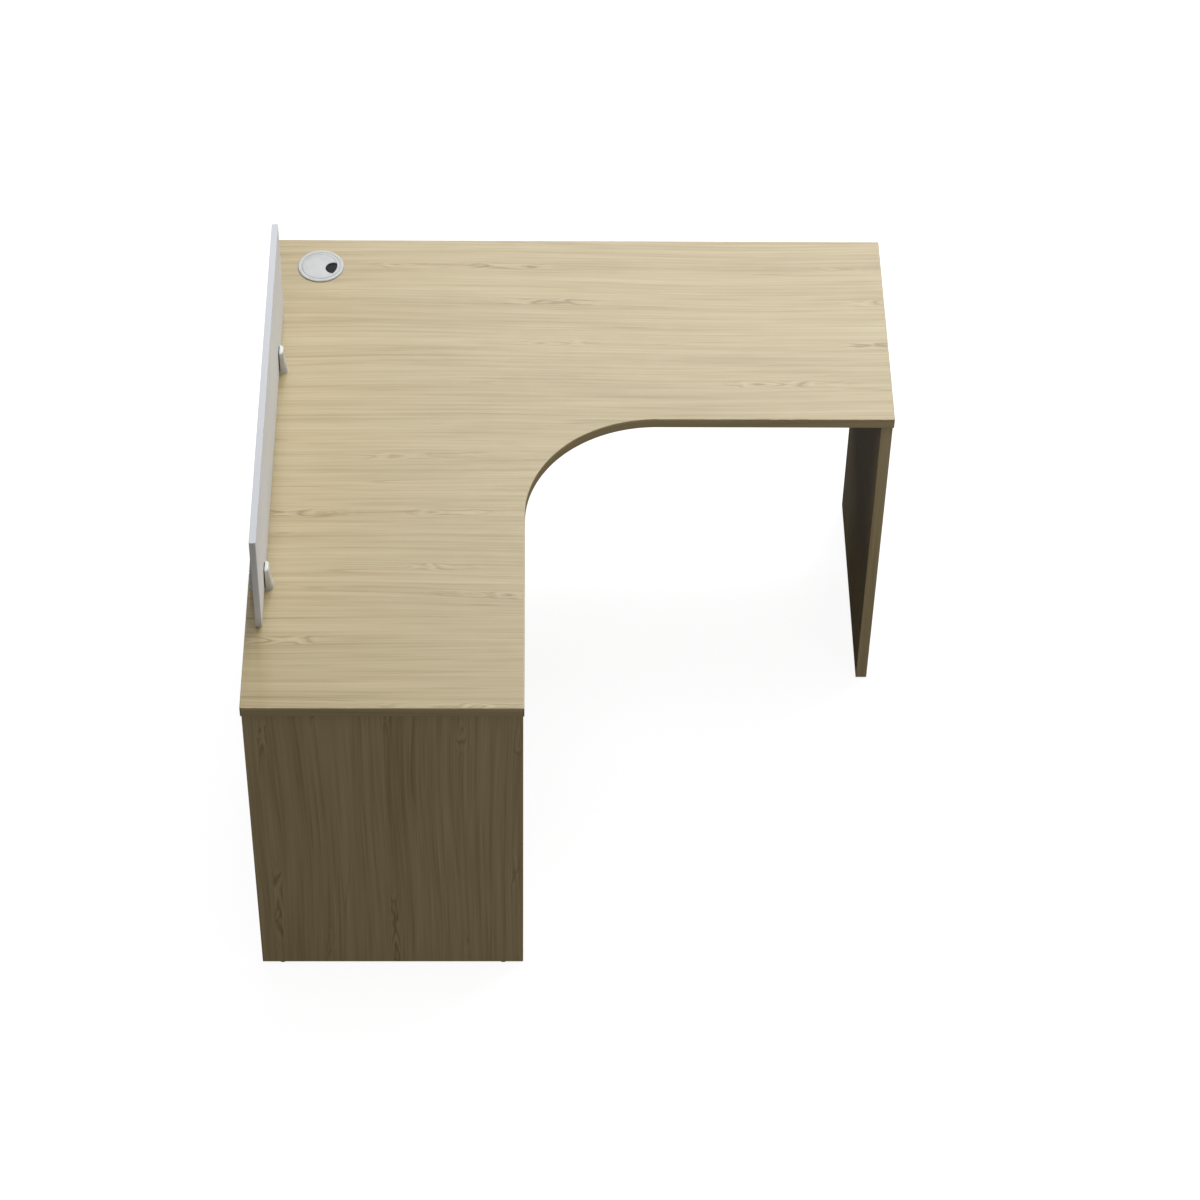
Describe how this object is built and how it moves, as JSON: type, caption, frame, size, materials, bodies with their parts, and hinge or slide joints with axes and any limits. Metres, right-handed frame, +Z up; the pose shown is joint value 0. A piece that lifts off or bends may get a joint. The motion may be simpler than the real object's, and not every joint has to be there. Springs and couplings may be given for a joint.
{
  "type": "teacher desk",
  "caption": "L-shaped wood-laminate desk with a round inner corner, panel ends, a hanging modesty panel on each rear side, a clamped white screen and a cable grommet.",
  "frame": {"origin": "on the floor, under the middle of the top's bounding rectangle", "axes": "+X to the right along the back edge, +Y to the back along the screen side, +Z up"},
  "size_m": [1.2, 1.22, 0.9743],
  "materials": {
    "oak_laminate": "satin wood-grain melamine laminate on chipboard, banded edges",
    "white_board": "satin white melamine board",
    "white_metal": "white powder-coated die casting",
    "white_plastic": "fine moulded satin plastic",
    "dark_plastic": "moulded black plastic",
    "rubber": "matt rubber strip",
    "zinc_steel": "bright zinc plating"
  },
  "bodies": {
    "desk": {"angle_iron_1": "zinc_steel", "angle_iron_2": "zinc_steel", "angle_iron_3": "zinc_steel", "angle_iron_4": "zinc_steel", "angle_iron_5": "zinc_steel", "angle_iron_6": "zinc_steel", "angle_iron_7": "zinc_steel", "angle_iron_8": "zinc_steel", "band_back": "oak_laminate", "band_inner_curve": "oak_laminate", "band_left_side": "oak_laminate", "band_left_wing_end": "oak_laminate", "band_right_side": "oak_laminate", "bracket_far_base_screw_back": "zinc_steel", "bracket_far_base_screw_front": "zinc_steel", "bracket_far_body": "white_metal", "bracket_far_liner": "rubber", "bracket_near_base_screw_back": "zinc_steel", "bracket_near_base_screw_front": "zinc_steel", "bracket_near_body": "white_metal", "bracket_near_liner": "rubber", "corner_panel_back": "oak_laminate", "corner_panel_side": "oak_laminate", "desktop": "oak_laminate", "foot_1_insert": "zinc_steel", "foot_2_insert": "zinc_steel", "foot_3_insert": "zinc_steel", "foot_4_insert": "zinc_steel", "foot_5_insert": "zinc_steel", "foot_6_insert": "zinc_steel", "grommet_liner": "white_plastic", "left_end_panel": "oak_laminate", "left_end_panel_band_inner": "oak_laminate", "left_end_panel_band_outer": "oak_laminate", "modesty_panel_back": "oak_laminate", "modesty_panel_side": "oak_laminate", "right_end_panel": "oak_laminate", "right_end_panel_band_back": "oak_laminate", "right_end_panel_band_front": "oak_laminate"},
    "screen": {"screen_board": "white_board"},
    "grommet_cover": {"grommet_cover": "white_plastic"},
    "grommet_flap": {"grommet_flap": "dark_plastic"},
    "clamp_near": {"bracket_near_clamp_screw": "zinc_steel", "bracket_near_clamp_pad": "dark_plastic"},
    "clamp_far": {"bracket_far_clamp_screw": "zinc_steel", "bracket_far_clamp_pad": "dark_plastic"},
    "foot_1": {"foot_1_pad": "dark_plastic", "foot_1_stem": "zinc_steel"},
    "foot_2": {"foot_2_pad": "dark_plastic", "foot_2_stem": "zinc_steel"},
    "foot_3": {"foot_3_pad": "dark_plastic", "foot_3_stem": "zinc_steel"},
    "foot_4": {"foot_4_pad": "dark_plastic", "foot_4_stem": "zinc_steel"},
    "foot_5": {"foot_5_pad": "dark_plastic", "foot_5_stem": "zinc_steel"},
    "foot_6": {"foot_6_pad": "dark_plastic", "foot_6_stem": "zinc_steel"}
  },
  "joints": [
    {"name": "foot_1_level", "type": "slide", "parent": "desk", "child": "foot_1", "axis": [0, 0, -1], "range_m": [0, 0.012]},
    {"name": "foot_2_level", "type": "slide", "parent": "desk", "child": "foot_2", "axis": [0, 0, -1], "range_m": [0, 0.012]},
    {"name": "foot_3_level", "type": "slide", "parent": "desk", "child": "foot_3", "axis": [0, 0, -1], "range_m": [0, 0.012]},
    {"name": "foot_4_level", "type": "slide", "parent": "desk", "child": "foot_4", "axis": [0, 0, -1], "range_m": [0, 0.012]},
    {"name": "foot_5_level", "type": "slide", "parent": "desk", "child": "foot_5", "axis": [0, 0, -1], "range_m": [0, 0.012]},
    {"name": "foot_6_level", "type": "slide", "parent": "desk", "child": "foot_6", "axis": [0, 0, -1], "range_m": [0, 0.012]},
    {"name": "screen_lift", "type": "slide", "parent": "desk", "child": "screen", "axis": [0, 0, 1], "range_m": [0, 0.07]},
    {"name": "clamp_near_release", "type": "slide", "parent": "desk", "child": "clamp_near", "axis": [-1, 0, 0], "range_m": [0, 0.0025]},
    {"name": "clamp_far_release", "type": "slide", "parent": "desk", "child": "clamp_far", "axis": [-1, 0, 0], "range_m": [0, 0.0025]},
    {"name": "grommet_cover_lift", "type": "slide", "parent": "desk", "child": "grommet_cover", "axis": [0, 0, 1], "range_m": [0, 0.03]},
    {"name": "grommet_flap_turn", "type": "hinge", "parent": "grommet_cover", "child": "grommet_flap", "pos_m": [-0.502, 0.532, 0.75], "axis": [0, 0, 1], "range_deg": [0, 120]}
  ]
}
